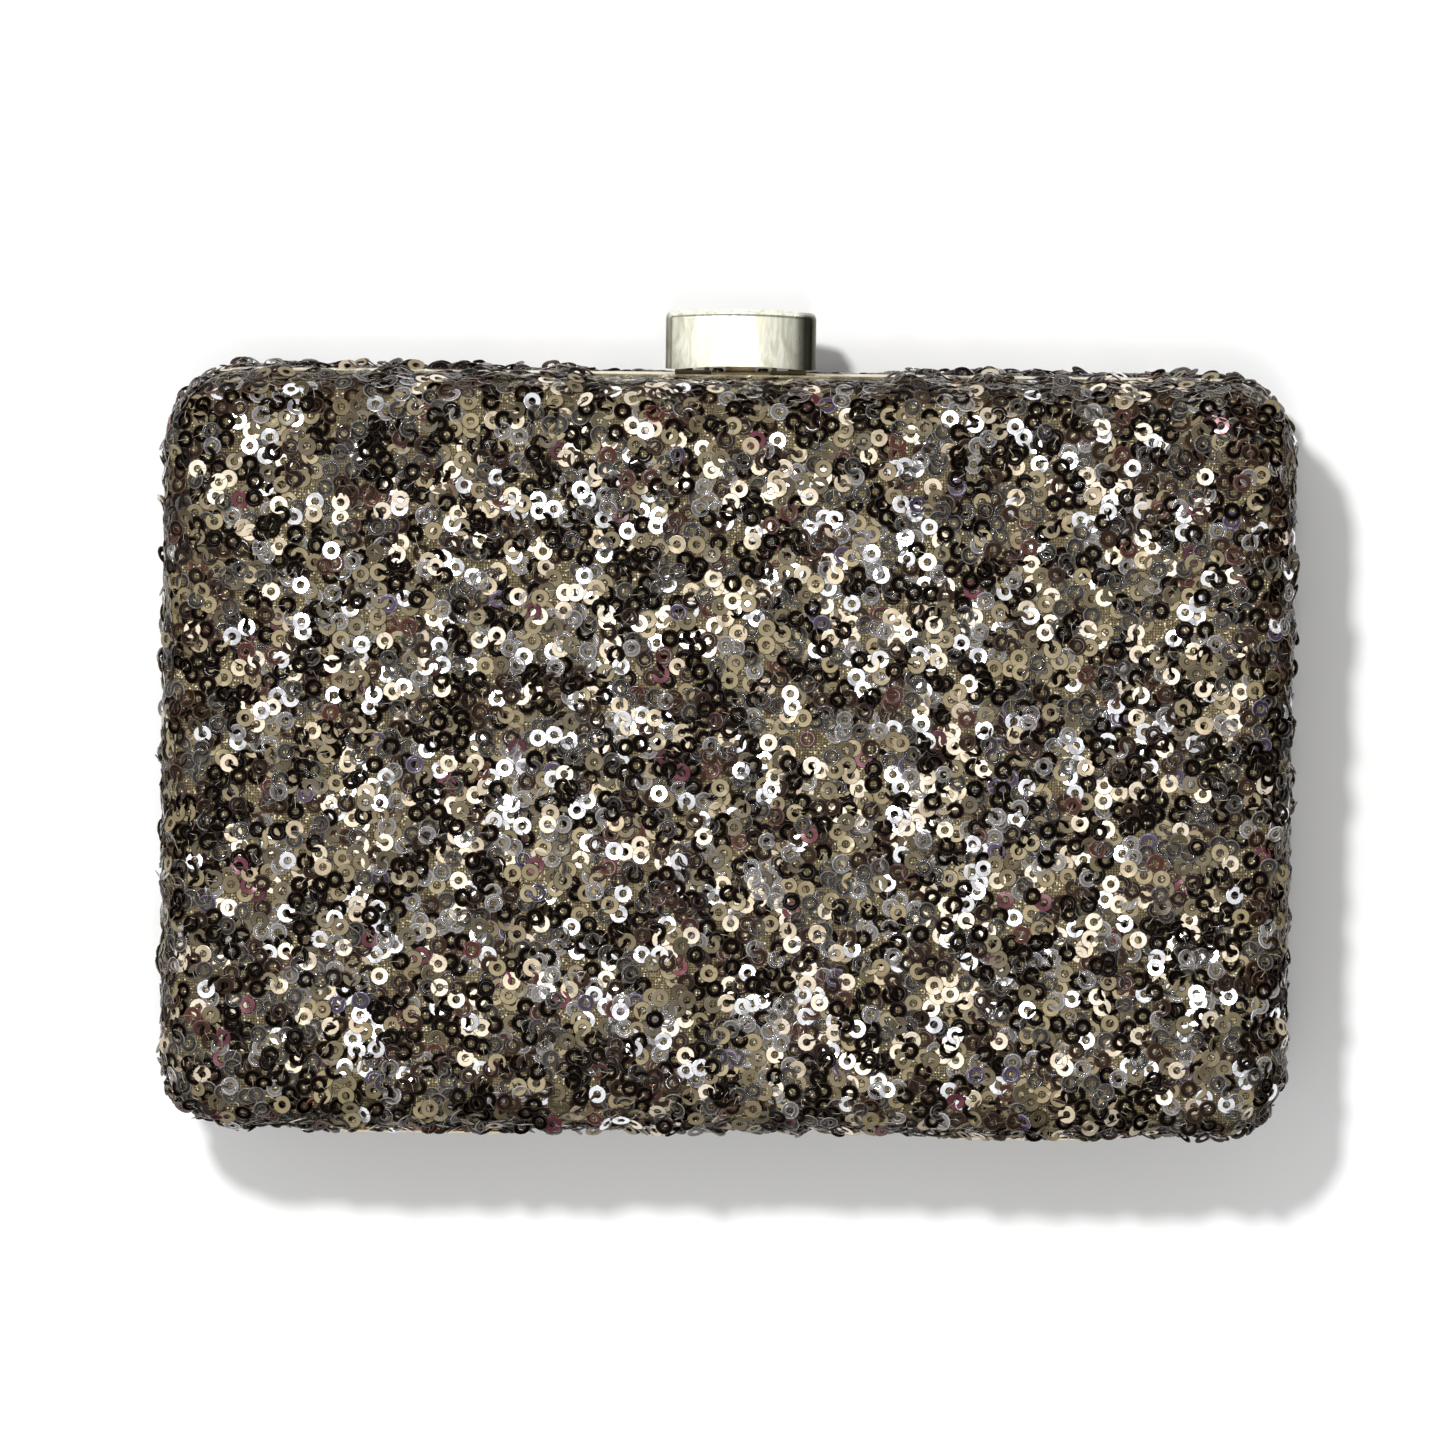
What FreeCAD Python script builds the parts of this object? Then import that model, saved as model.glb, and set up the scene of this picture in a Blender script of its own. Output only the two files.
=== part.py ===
"""Hard box evening clutch, lying on its back.

Two moulded trays covered in sequinned cloth are glued into folded metal channel frames.
Two butt hinges join the frames along the bottom edge, so the front tray opens as a lid.
A sprung clasp at the top edge holds the frames shut: its polished cap tips backwards,
and its hook bar then lifts clear of the catch tongue on the front frame.

Frame of the part, in millimetres: +X along the width, +Y from the hinges towards the
clasp, +Z out of the front face. The back lies on Z = 0, and the origin is under the
middle of the part.
"""

import FreeCAD, Part
import math
import os

V = FreeCAD.Vector

# ---- the two trays -------------------------------------------------------------------
bag_width = 180.0  # over the metal frames
bag_height = 120.0  # over the metal frames, hinge edge to clasp edge
half_depth = 22.0  # parting plane to the outermost face of one tray
corner_radius = 12.0  # of the frame outline
face_edge_radius = 7.5  # from the side walls into the large face
parting_gap = 0.3  # between the two frames when shut
frame_proud = 0.2  # how far the frame stands past the sequins
cloth = 0.5  # the backing cloth that carries the sequins
shell_wall = 1.6
lining = 0.5
glue_line = 0.1  # between glued layers

# ---- the channel frames --------------------------------------------------------------
frame_sheet = 0.6  # thickness of the folded metal
outer_flange = 3.6  # height from the parting plane
inner_flange = 4.6
frame_fold_radius = 0.4
pile_start_gap = 0.2  # from the outer flange to the first sequins

# ---- hinges --------------------------------------------------------------------------
hinge_spacing = 96.0  # between the middles of the two hinges
hinge_length = 26.0
knuckles = 5  # per hinge: the odd ones are on the rear leaf
knuckle_gap = 0.25
knuckle_radius = 1.3
hinge_pin_radius = 0.65
hinge_pin_play = 0.05  # radial
hinge_pin_head = (1.05, 0.4)  # radius, thickness
hinge_axis_out = 1.7  # hinge axis outside the frame
leaf_sheet = 0.6
leaf_start = 1.6  # from the parting plane to the flat of a leaf
knuckle_arm_overlap = 0.1  # of a knuckle's arm on the flat
leaf_rivet_spacing = 18.0
leaf_rivet_radius = 0.5
leaf_rivet_head = (0.8, 0.35)  # radius, height
rivet_play = 0.05  # radial, of every rivet
plate_margin = 0.1  # from the edge of a flange to a plate on it

# ---- clasp ---------------------------------------------------------------------------
clasp_x = 1.5  # the clasp sits a little right of the middle
cap_width = 24.0
cap_height = 9.2
cap_half_depth = 7.0  # at the middle of the bulge
cap_end_half_depth = 3.6
cap_corner_radius = 2.0
cap_top_radius = 0.8
cap_wall = 0.9
cap_lift = 0.9  # its lower edge above the frame
cap_arch = (20.0, 0.7)  # width and rise of the relief under its front edge
cap_crown = 0.5  # rise of its top from the ends to the middle
cap_swing_rise = 0.3  # its rear lower edge above the clasp pin
cap_roof_gap = 0.1  # glue between its top and the bracket
pivot_up = 3.0  # clasp pin above the frame
pivot_back = 3.2  # clasp pin behind the parting plane
clasp_pin_radius = 0.6
clasp_pin_play = 0.05
clasp_pin_end = 0.4  # past the bracket on each side
bracket_half_width = 6.9
bracket_sheet = 0.8
bracket_reach = (4.4, 4.2)  # behind and in front of the parting plane
bracket_boss = 1.5
hook_bar = (2.4, 1.0, 1.3, 1.2)  # start in front, thickness, height above frame, height
ear_gap = 0.3  # from the bracket plates to the ears of the base
ear_sheet = 0.8
ear_radius = 1.4
base_length = 21.0
base_sheet = 0.5
clasp_rivet_spacing = 18.0
clasp_rivet_radius = 0.8
clasp_rivet_head = (1.4, 0.5)
spring_wire = 0.25  # radius
spring_coil = 1.1  # mean radius
spring_turns = 5
spring_pitch = 0.62
spring_gap = 0.05  # from a leg to what it bears on
spring_end_gap = 0.1  # beyond the tip of a leg
spring_tab = (1.2, 0.8, 2.4)  # width, thickness and height of the tab in front of the upper leg

# ---- catch on the front frame --------------------------------------------------------
tongue_width = 4.8
tongue_height = 3.6
tongue_start = 1.5  # from the parting plane
catch_length = 9.4
catch_rivet_spacing = 7.2
catch_rivet_radius = 0.5
catch_rivet_head = (0.9, 0.5)

# ---- inside --------------------------------------------------------------------------
pocket_width = 112.0
pocket_height = 62.0
pocket_sheet = 0.6
pocket_slack = 1.1  # space under the pocket cloth
pocket_seam = 0.8  # width of the sewn sides
pocket_low = 4.0  # below the middle of the tray
binding = (2.4, 0.5)  # width, thickness
binding_gap = 0.02  # from the binding to the pocket's edge
pocket_corner = 4.0
lug_y = 34.0  # above the middle of the tray
lug_length = 6.4
lug_width = 5.0
lug_sheet = 0.8
lug_hole_radius = 1.5
lug_end_radius = 2.4
lug_foot = (6.0, 3.2, 0.6)  # along the frame, height, thickness

# ---- worked out ----------------------------------------------------------------------
hinge_reach = hinge_axis_out + knuckle_radius  # past the frame at the hinge edge
clasp_reach = cap_lift + cap_height  # past the frame at the clasp edge
middle_y = (hinge_reach - clasp_reach) / 2
top_y = middle_y + bag_height / 2
bottom_y = middle_y - bag_height / 2
parting_z = half_depth
web_start = parting_gap / 2
rim = web_start + frame_sheet + glue_line  # where the tray walls start in the channel

# Depths below the outermost surface, the tips of the sequins.
cloth_out = frame_sheet + glue_line - frame_proud
cloth_in = cloth_out + cloth
shell_out = cloth_in + glue_line
shell_in = shell_out + shell_wall
lining_out = shell_in + glue_line
lining_in = lining_out + lining
channel_in = lining_in + glue_line + frame_proud  # inset of the inner flange
channel_width = channel_in + frame_sheet


def box(x0, x1, y0, y1, z0, z1):
    return Part.makeBox(x1 - x0, y1 - y0, z1 - z0, V(x0, y0, z0))


def rod(radius, start, end):
    along = V(*end) - V(*start)
    return Part.makeCylinder(radius, along.Length, V(*start), along)


def outline(inset, z):
    """The bag's outline, moved inwards, as a flat face at height z."""
    a, b = bag_width / 2 - inset, bag_height / 2 - inset
    r = corner_radius - inset
    s = r * (1 - math.sqrt(0.5))
    edges = []
    for sx, sy in ((1, 1), (-1, 1), (-1, -1), (1, -1)):
        ends = [V(sx * a, sy * (b - r), z), V(sx * (a - r), sy * b, z)]
        if sx * sy < 0:
            ends.reverse()
        edges.append(Part.Arc(ends[0], V(sx * (a - s), sy * (b - s), z), ends[1]).toShape())
    sides = [
        Part.LineSegment(edges[i].Vertexes[-1].Point, edges[(i + 1) % 4].Vertexes[0].Point)
        for i in range(4)
    ]
    loop = [e for arc, side in zip(edges, sides) for e in (arc, side.toShape())]
    return Part.Face(Part.Wire(loop))


def slab(inset, z0, z1):
    """A block with the bag's outline, between two heights above the parting plane."""
    return outline(inset, z0).extrude(V(0, 0, z1 - z0))


def ring(outer, inner, z0, z1):
    return slab(outer, z0, z1).cut(slab(inner, z0 - 1, z1 + 1))


def crowned(depth, z0):
    """A tray's solid form at a depth below the outermost surface, from z0 to its face."""
    face_z = half_depth - depth
    form = slab(depth + frame_proud, z0, face_z)
    rim_edges = [e for e in form.Edges if all(abs(v.Z - face_z) < 1e-6 for v in e.Vertexes)]
    return form.makeFillet(face_edge_radius - depth, rim_edges)


def front(shape):
    """Places a tray form as the front half, which is the lid."""
    return shape.translated(V(0, middle_y, parting_z))


def rear(shape):
    """Places a tray form as the rear half, turned over about X."""
    turned = shape.copy()
    turned.rotate(V(0, 0, 0), V(1, 0, 0), 180)
    return turned.translated(V(0, middle_y, parting_z))


# ---- trays ---------------------------------------------------------------------------
def shell():
    return crowned(shell_out, rim).cut(crowned(shell_in, rim - 1))


def cover():
    """Cloth that runs into the channel, with the sequin pile on it outside the channel."""
    pile = crowned(0, outer_flange + pile_start_gap)
    return crowned(cloth_out, rim).fuse(pile).cut(crowned(cloth_in, rim - 1)).removeSplitter()


def tray_lining():
    return crowned(lining_out, rim).cut(crowned(lining_in, rim - 1))


def frame():
    """Channel ring: a web on the parting plane with an outer and an inner flange."""
    body = slab(0, web_start, outer_flange)
    fold = [e for e in body.Edges if all(abs(v.Z - web_start) < 1e-6 for v in e.Vertexes)]
    body = body.makeFillet(frame_fold_radius, fold)
    body = body.cut(slab(frame_sheet, web_start + frame_sheet, outer_flange + 1))
    body = body.fuse(ring(channel_in, channel_width, web_start, inner_flange))
    return body.cut(slab(channel_width, -1, half_depth)).removeSplitter()


# ---- rivets through the glued rim ----------------------------------------------------
def rim_rivet(x, z, edge_y, out, plate, radius, head):
    """A rivet along Y. out is the way outwards, and plate what it holds on the frame."""
    head_radius, head_height = head
    outside, inside = edge_y + out * plate, edge_y - out * channel_width
    body = rod(radius, (x, inside - out * head_height, z), (x, outside + out * head_height, z))
    for y in (outside, inside):
        away = out if y == outside else -out
        knob = rod(head_radius, (x, y, z), (x, y + away * head_height, z))
        tip = [e for e in knob.Edges if all(abs(v.Y - y) > 1e-6 for v in e.Vertexes)]
        tip = [e for e in tip if len(e.Vertexes) == 1]
        body = body.fuse(knob.makeFillet(0.7 * head_height, tip))
    return body.removeSplitter()


def rim_hole(x, z, edge_y, out, radius):
    through = 3.0  # past the frame on both sides
    return rod(
        radius + rivet_play,
        (x, edge_y - out * (channel_width + through), z),
        (x, edge_y + out * through, z),
    )


clasp_rivet_z = -(web_start + outer_flange) / 2
clasp_rivets = [
    (clasp_x + s * clasp_rivet_spacing / 2, parting_z + clasp_rivet_z, top_y, 1,
     base_sheet, clasp_rivet_radius, clasp_rivet_head)
    for s in (-1, 1)
]
catch_rivets = [
    (clasp_x + s * catch_rivet_spacing / 2, parting_z - clasp_rivet_z, top_y, 1,
     base_sheet, catch_rivet_radius, catch_rivet_head)
    for s in (-1, 1)
]
leaf_rivet_z = (leaf_start + outer_flange) / 2


def leaf_rivets(side):
    """side is 1 for the front leaves and -1 for the rear ones."""
    return [
        (h * hinge_spacing / 2 + s * leaf_rivet_spacing / 2, parting_z + side * leaf_rivet_z,
         bottom_y, -1, leaf_sheet, leaf_rivet_radius, leaf_rivet_head)
        for h in (-1, 1)
        for s in (-1, 1)
    ]


front_rivets = catch_rivets + leaf_rivets(1)
rear_rivets = clasp_rivets + leaf_rivets(-1)


def drilled(shape, rivets):
    for x, z, edge_y, out, _, radius, _ in rivets:
        shape = shape.cut(rim_hole(x, z, edge_y, out, radius))
    return shape


def rivet_group(rivets):
    return Part.makeCompound([rim_rivet(*r) for r in rivets])


# ---- hinges --------------------------------------------------------------------------
hinge_y = bottom_y - hinge_axis_out
knuckle_length = (hinge_length - (knuckles - 1) * knuckle_gap) / knuckles


def hinge_leaf(middle_x, side):
    """side is 1 for the front leaf, with the even knuckles, and -1 for the rear leaf."""
    x0 = middle_x - hinge_length / 2
    flat = sorted((parting_z + side * leaf_start, parting_z + side * (outer_flange - plate_margin)))
    body = box(x0, x0 + hinge_length, bottom_y - leaf_sheet, bottom_y, *flat)
    for n in range(0 if side < 0 else 1, knuckles, 2):
        a = x0 + n * (knuckle_length + knuckle_gap)
        b = a + knuckle_length
        arm_end = leaf_start + knuckle_arm_overlap
        arm = sorted((parting_z + side * web_start, parting_z + side * arm_end))
        body = body.fuse(box(a, b, hinge_y, bottom_y, *arm))
        body = body.fuse(rod(knuckle_radius, (a, hinge_y, parting_z), (b, hinge_y, parting_z)))
    bore = rod(
        hinge_pin_radius + hinge_pin_play,
        (x0 - 1, hinge_y, parting_z),
        (x0 + hinge_length + 1, hinge_y, parting_z),
    )
    body = body.cut(bore).removeSplitter()
    return drilled(body, leaf_rivets(side))


def hinge_pin(middle_x):
    radius, thick = hinge_pin_head
    half = hinge_length / 2 + knuckle_gap
    ends = [(middle_x + s * half, hinge_y, parting_z) for s in (-1, 1)]
    body = rod(hinge_pin_radius, *ends)
    for s, end in zip((-1, 1), ends):
        body = body.fuse(rod(radius, end, (end[0] + s * thick, end[1], end[2])))
    return body.removeSplitter()


# ---- clasp ---------------------------------------------------------------------------
pivot = (top_y + pivot_up, parting_z - pivot_back)  # y, z of the clasp pin
roof_inside = top_y + clasp_reach - cap_crown - cap_wall  # ceiling of the cap's hollow
roof_up = roof_inside - cap_roof_gap - top_y  # top of the bracket's roof above the frame
roof_under = top_y + roof_up - bracket_sheet
spring_length = spring_pitch * spring_turns
spring_slope = spring_pitch / (2 * math.pi * spring_coil)  # of the wire, and so of its legs


def clasp_box(x0, x1, up0, up1, z0, z1):
    """A box placed from the clasp's middle, the frame's top face and the parting plane."""
    return box(clasp_x + x0, clasp_x + x1, top_y + up0, top_y + up1, parting_z + z0, parting_z + z1)


def clasp_rod(radius, x0, x1):
    """A rod on the clasp pin's axis."""
    return rod(radius, (clasp_x + x0, *pivot), (clasp_x + x1, *pivot))


def lens(inset, y0, y1, corner):
    """A prism along Y with two bulging sides, the cap's outline moved inwards."""
    half, end, mid = cap_width / 2 - inset, cap_end_half_depth - inset, cap_half_depth - inset
    at = [(-half, -end), (0, -mid), (half, -end), (half, end), (0, mid), (-half, end)]
    p = [V(clasp_x + x, y0, parting_z + z) for x, z in at]
    loop = Part.Wire([
        Part.Arc(p[0], p[1], p[2]).toShape(),
        Part.LineSegment(p[2], p[3]).toShape(),
        Part.Arc(p[3], p[4], p[5]).toShape(),
        Part.LineSegment(p[5], p[0]).toShape(),
    ])
    form = Part.Face(loop).extrude(V(0, y1 - y0, 0))
    upright = [e for e in form.Edges if abs(e.Vertexes[0].Y - e.Vertexes[-1].Y) > 1]
    return form.makeFillet(corner, upright)


def arc_radius(span, rise):
    return (span * span / 4 + rise * rise) / (2 * rise)


def clasp_cap():
    """The polished cap: hollow, open below, arched in front and cut away behind its pin."""
    low, high = top_y + cap_lift, top_y + cap_lift + cap_height
    form = lens(0, low, high, cap_corner_radius)
    crown = high - arc_radius(cap_width, cap_crown)
    behind, before = parting_z - cap_width, parting_z + cap_width
    form = form.common(rod(high - crown, (clasp_x, crown, behind), (clasp_x, crown, before)))
    crest = [e for e in form.Edges if all(v.Y > high - cap_crown - 1e-6 for v in e.Vertexes)]
    form = form.makeFillet(cap_top_radius, crest)
    hollow = lens(cap_wall, low - 1, roof_inside, cap_corner_radius - cap_wall)
    form = form.cut(hollow)
    swing_room = clasp_box(
        -cap_width, cap_width, -1, pivot_up + cap_swing_rise, -2 * cap_half_depth, -pivot_back
    )
    radius = arc_radius(*cap_arch)
    arch_y = low + cap_arch[1] - radius
    return form.cut(swing_room).cut(rod(radius, (clasp_x, arch_y, parting_z), (clasp_x, arch_y, before)))


def clasp_bracket():
    """Folded plate that carries the cap: a roof, two side plates and the hook bar."""
    back, fore = bracket_reach
    outer, inner = bracket_half_width, bracket_half_width - bracket_sheet
    start, thick, bar_up, bar_height = hook_bar
    body = clasp_box(-outer, outer, roof_up - bracket_sheet, roof_up, -back, fore)
    body = body.fuse(clasp_box(-outer, outer, bar_up, bar_up + bar_height, start, start + thick))
    for s in (-1, 1):
        x0, x1 = sorted((s * inner, s * outer))
        plate = clasp_box(x0, x1, pivot_up + bracket_boss, roof_up, -back, fore)
        plate = plate.fuse(clasp_box(x0, x1, bar_up, roof_up, start, fore))
        boss = clasp_box(x0, x1, pivot_up, roof_up, -back, -pivot_back + bracket_boss)
        plate = plate.fuse(boss).fuse(clasp_rod(bracket_boss, x0, x1))
        body = body.fuse(plate)
    wide, thick, tall = spring_tab
    leg_x = -spring_length / 2 - spring_slope * (roof_under - pivot[0] - tall / 2)
    leg_front = -pivot_back + spring_coil + spring_wire + spring_gap
    tab = clasp_box(
        leg_x - wide / 2, leg_x + wide / 2, roof_up - bracket_sheet - tall, roof_up,
        leg_front, leg_front + thick,
    )
    return body.fuse(tab).cut(clasp_rod(clasp_pin_radius, -cap_width, cap_width)).removeSplitter()


def clasp_pin():
    half = bracket_half_width + clasp_pin_end
    return clasp_rod(clasp_pin_radius, -half, half)


def clasp_base():
    """Plate on the rear frame with two ears that hold the clasp pin."""
    flat = (-(outer_flange - plate_margin), -(web_start + plate_margin))
    body = clasp_box(-base_length / 2, base_length / 2, 0, base_sheet, *flat)
    ear_out = bracket_half_width - bracket_sheet - ear_gap
    for s in (-1, 1):
        x0, x1 = sorted((s * ear_out, s * (ear_out - ear_sheet)))
        body = body.fuse(clasp_rod(ear_radius, x0, x1))
        body = body.fuse(clasp_box(x0, x1, 0, pivot_up, flat[0], -pivot_back + ear_radius))
    body = body.cut(clasp_rod(clasp_pin_radius + clasp_pin_play, -cap_width, cap_width))
    leg_x = clasp_x + spring_length / 2 + spring_slope * (pivot_up - base_sheet / 2)
    leg_z = pivot[1] + spring_coil
    leg_hole = rod(spring_wire + spring_gap, (leg_x, top_y - 1, leg_z), (leg_x, pivot[0], leg_z))
    return drilled(body.cut(leg_hole).removeSplitter(), clasp_rivets)


def clasp_spring():
    """Torsion spring round the pin: a leg down into the base and a leg up behind the bracket's tab."""
    coil = Part.makeHelix(spring_pitch, spring_length, spring_coil).Edges[0]
    wire = [coil]
    for at, way, reach in (
        (coil.FirstParameter, -1, pivot_up - spring_end_gap),
        (coil.LastParameter, 1, roof_under - pivot[0] - spring_end_gap),
    ):
        end, along = coil.valueAt(at), coil.tangentAt(at)
        wire.append(Part.LineSegment(end, end + along * (way * reach)).toShape())
    path = Part.Wire(Part.sortEdges(wire)[0])
    along = coil.tangentAt(coil.FirstParameter)
    start = coil.valueAt(coil.FirstParameter) - along * (pivot_up - spring_end_gap)
    section = Part.Wire([Part.Circle(start, along, spring_wire).toShape()])
    body = path.makePipeShell([section], True, True)
    body.rotate(V(0, 0, 0), V(0, 1, 0), -90)  # the helix now runs along -X and starts at +Z
    return body.translated(V(clasp_x + spring_length / 2, *pivot))


def catch_tongue():
    """Spring steel plate on the front frame, with the tongue that the hook bar holds."""
    flat = (web_start + plate_margin, outer_flange - plate_margin)
    body = clasp_box(-catch_length / 2, catch_length / 2, 0, base_sheet, *flat)
    tongue = clasp_box(
        -tongue_width / 2, tongue_width / 2, 0, tongue_height, tongue_start, tongue_start + frame_sheet
    )
    crest = [e for e in tongue.Edges if all(abs(v.Y - top_y - tongue_height) < 1e-6 for v in e.Vertexes)]
    tongue = tongue.makeFillet(0.2, crest)
    return drilled(body.fuse(tongue).removeSplitter(), catch_rivets)


# ---- inside --------------------------------------------------------------------------
floor_z = lining_in  # inner face of the rear lining
pocket_y = middle_y - pocket_low
pocket_top = floor_z + glue_line + pocket_slack + pocket_sheet


def slip_pocket():
    """Flat pocket on the rear lining, sewn on three sides and open towards the clasp."""
    a, b = pocket_width / 2, pocket_height / 2
    body = box(-a, a, pocket_y - b, pocket_y + b, floor_z + glue_line, pocket_top)
    slot = box(
        -a + pocket_seam, a - pocket_seam, pocket_y - b + pocket_seam, pocket_y + b + 1,
        floor_z, floor_z + glue_line + pocket_slack,
    )
    upright = [e for e in body.Edges if abs(e.Vertexes[0].Z - e.Vertexes[-1].Z) > 1]
    low = [e for e in upright if e.Vertexes[0].Y < pocket_y]
    return body.makeFillet(pocket_corner, low).cut(slot)


def pocket_binding():
    wide, thick = binding
    y = pocket_y + pocket_height / 2
    a = pocket_width / 2
    over = box(-a, a, y - wide, y + thick, pocket_top + binding_gap, pocket_top + thick)
    lip = box(-a, a, y + binding_gap, y + thick, floor_z + glue_line + pocket_slack, pocket_top + thick)
    return over.fuse(lip).removeSplitter()


def chain_lug(side):
    """Tab with an eye for a chain hook, on the inner flange of the rear frame."""
    along, tall, thick = lug_foot
    wall = bag_width / 2 - channel_width
    y = middle_y + lug_y
    z1 = parting_z - web_start - frame_sheet
    foot = box(wall - thick, wall, y - along / 2, y + along / 2, z1 - tall, z1)
    tab = box(wall - lug_length, wall, y - lug_width / 2, y + lug_width / 2, z1 - lug_sheet, z1)
    ends = [e for e in tab.Edges if abs(e.Vertexes[0].Z - e.Vertexes[-1].Z) > 0.5]
    ends = [e for e in ends if e.Vertexes[0].X < wall - 1]
    eye_x = wall - lug_length + lug_width / 2
    tab = tab.makeFillet(lug_end_radius, ends)
    body = foot.fuse(tab).cut(rod(lug_hole_radius, (eye_x, y, z1 - tall), (eye_x, y, z1 + tall)))
    if side < 0:
        body.rotate(V(0, y, 0), V(0, 0, 1), 180)
    return body.removeSplitter()


def build():
    nodes = {
        "rear_shell": drilled(rear(shell()), rear_rivets),
        "rear_cover": drilled(rear(cover()), rear_rivets),
        "rear_lining": drilled(rear(tray_lining()), rear_rivets),
        "rear_frame": drilled(rear(frame()), rear_rivets),
        "front_shell": drilled(front(shell()), front_rivets),
        "front_cover": drilled(front(cover()), front_rivets),
        "front_lining": drilled(front(tray_lining()), front_rivets),
        "front_frame": drilled(front(frame()), front_rivets),
        "clasp_cap": clasp_cap(),
        "clasp_bracket": clasp_bracket(),
        "clasp_pin": clasp_pin(),
        "clasp_base": clasp_base(),
        "clasp_spring": clasp_spring(),
        "clasp_base_rivets": rivet_group(clasp_rivets),
        "catch_tongue": catch_tongue(),
        "catch_rivets": rivet_group(catch_rivets),
        "hinge_front_rivets": rivet_group(leaf_rivets(1)),
        "hinge_rear_rivets": rivet_group(leaf_rivets(-1)),
        "slip_pocket": slip_pocket(),
        "pocket_binding": pocket_binding(),
    }
    for side, word in ((-1, "left"), (1, "right")):
        x = side * hinge_spacing / 2
        nodes[f"hinge_front_leaf_{word}"] = hinge_leaf(x, 1)
        nodes[f"hinge_rear_leaf_{word}"] = hinge_leaf(x, -1)
        nodes[f"hinge_pin_{word}"] = hinge_pin(x)
        nodes[f"chain_lug_{word}"] = chain_lug(side)
    return nodes


def main():
    os.makedirs("parts", exist_ok=True)
    for name, shape in sorted(build().items()):
        solids = shape.Solids
        box_ = shape.BoundBox
        print(
            f"{name:24s} solids {len(solids)} valid {shape.isValid()} "
            f"volume {sum(s.Volume for s in solids):9.2f} "
            f"x {box_.XMin:7.2f} {box_.XMax:7.2f} y {box_.YMin:7.2f} {box_.YMax:7.2f} "
            f"z {box_.ZMin:6.2f} {box_.ZMax:6.2f}"
        )
        shape.exportStep(f"parts/{name}.step")


main()
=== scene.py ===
import math

import bpy
import numpy as np
from mathutils import Matrix, Vector


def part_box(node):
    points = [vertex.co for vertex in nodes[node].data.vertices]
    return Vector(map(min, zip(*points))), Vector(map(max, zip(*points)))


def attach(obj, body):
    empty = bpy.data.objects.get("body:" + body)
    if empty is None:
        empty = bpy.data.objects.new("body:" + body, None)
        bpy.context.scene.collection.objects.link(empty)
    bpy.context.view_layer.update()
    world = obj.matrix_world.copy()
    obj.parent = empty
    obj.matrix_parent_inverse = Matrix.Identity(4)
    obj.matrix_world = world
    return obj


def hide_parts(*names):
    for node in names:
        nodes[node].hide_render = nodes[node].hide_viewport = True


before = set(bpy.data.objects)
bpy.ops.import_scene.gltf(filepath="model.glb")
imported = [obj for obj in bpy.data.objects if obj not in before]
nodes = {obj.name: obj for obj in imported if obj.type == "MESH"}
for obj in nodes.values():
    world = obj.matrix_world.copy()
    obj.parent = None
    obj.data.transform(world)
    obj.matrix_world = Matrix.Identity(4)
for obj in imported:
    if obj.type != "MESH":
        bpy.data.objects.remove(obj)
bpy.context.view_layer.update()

MM = 0.001

# ---- sizes of the bag, as the trays and frames were made -----------------------------
half_width = 90.0 * MM
half_height = 60.0 * MM
half_depth = 22.0 * MM  # of one half, from the face to the parting plane
corner_radius = 12.0 * MM
face_edge_radius = 7.5 * MM
middle_y = (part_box("front_frame")[0].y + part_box("front_frame")[1].y) / 2
parting_z = half_depth
frame_proud = 0.2 * MM
cloth_depth = 0.5 * MM  # from the outermost sequins to the outside of the cloth
cloth_sheet = 0.5 * MM
lining_depth = 2.8 * MM
lining_sheet = 0.5 * MM
pile_start = 3.8 * MM  # from the parting plane to the first sequins
corner_steps = 14
straight_steps = (56, 36)
corner_signs = np.array([(1, 1), (-1, 1), (-1, -1), (1, -1)])  # in turn round the bag

# ---- sizes of the trimming -----------------------------------------------------------
sequin_radius = 1.5 * MM
sequin_hole = 0.55 * MM
sequin_sheet = 0.13 * MM
sequin_spacing = 1.2 * MM  # nearest two sewing points
sequins_per_mm2 = 0.22
sequin_sides = 13
most_in_a_piece = 1200
most_height = 1.0 * MM  # of a sequin's middle over the cloth
stitches_seen = 0.55  # share of the sequins whose stitch shows
thread_radius = 0.045 * MM
thread_sides = 3
patch_size = 15 * MM  # over which one kind of sequin gathers
fleck_size = 5 * MM
dark_painted_shade_border = 18 * MM  # inside the sides, where dark kinds are more, as painted shade
bright_painted_shade_border = 30 * MM  # inside the sides, where bright kinds are fewer, as painted shade
end_shift = 8 * MM  # how much narrower both borders are at the top and the bottom
clasp_x = 1.5 * MM
clasp_clear = 24 * MM  # each side of the clasp, where the sequins are pressed flat
hinge_middles = [
    (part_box("hinge_pin_" + side)[0].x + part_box("hinge_pin_" + side)[1].x) / 2 for side in ("left", "right")
]
hinge_cover = 17 * MM  # each side of a hinge, where fuller sequins stand over it

random = np.random.default_rng(20)


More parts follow.
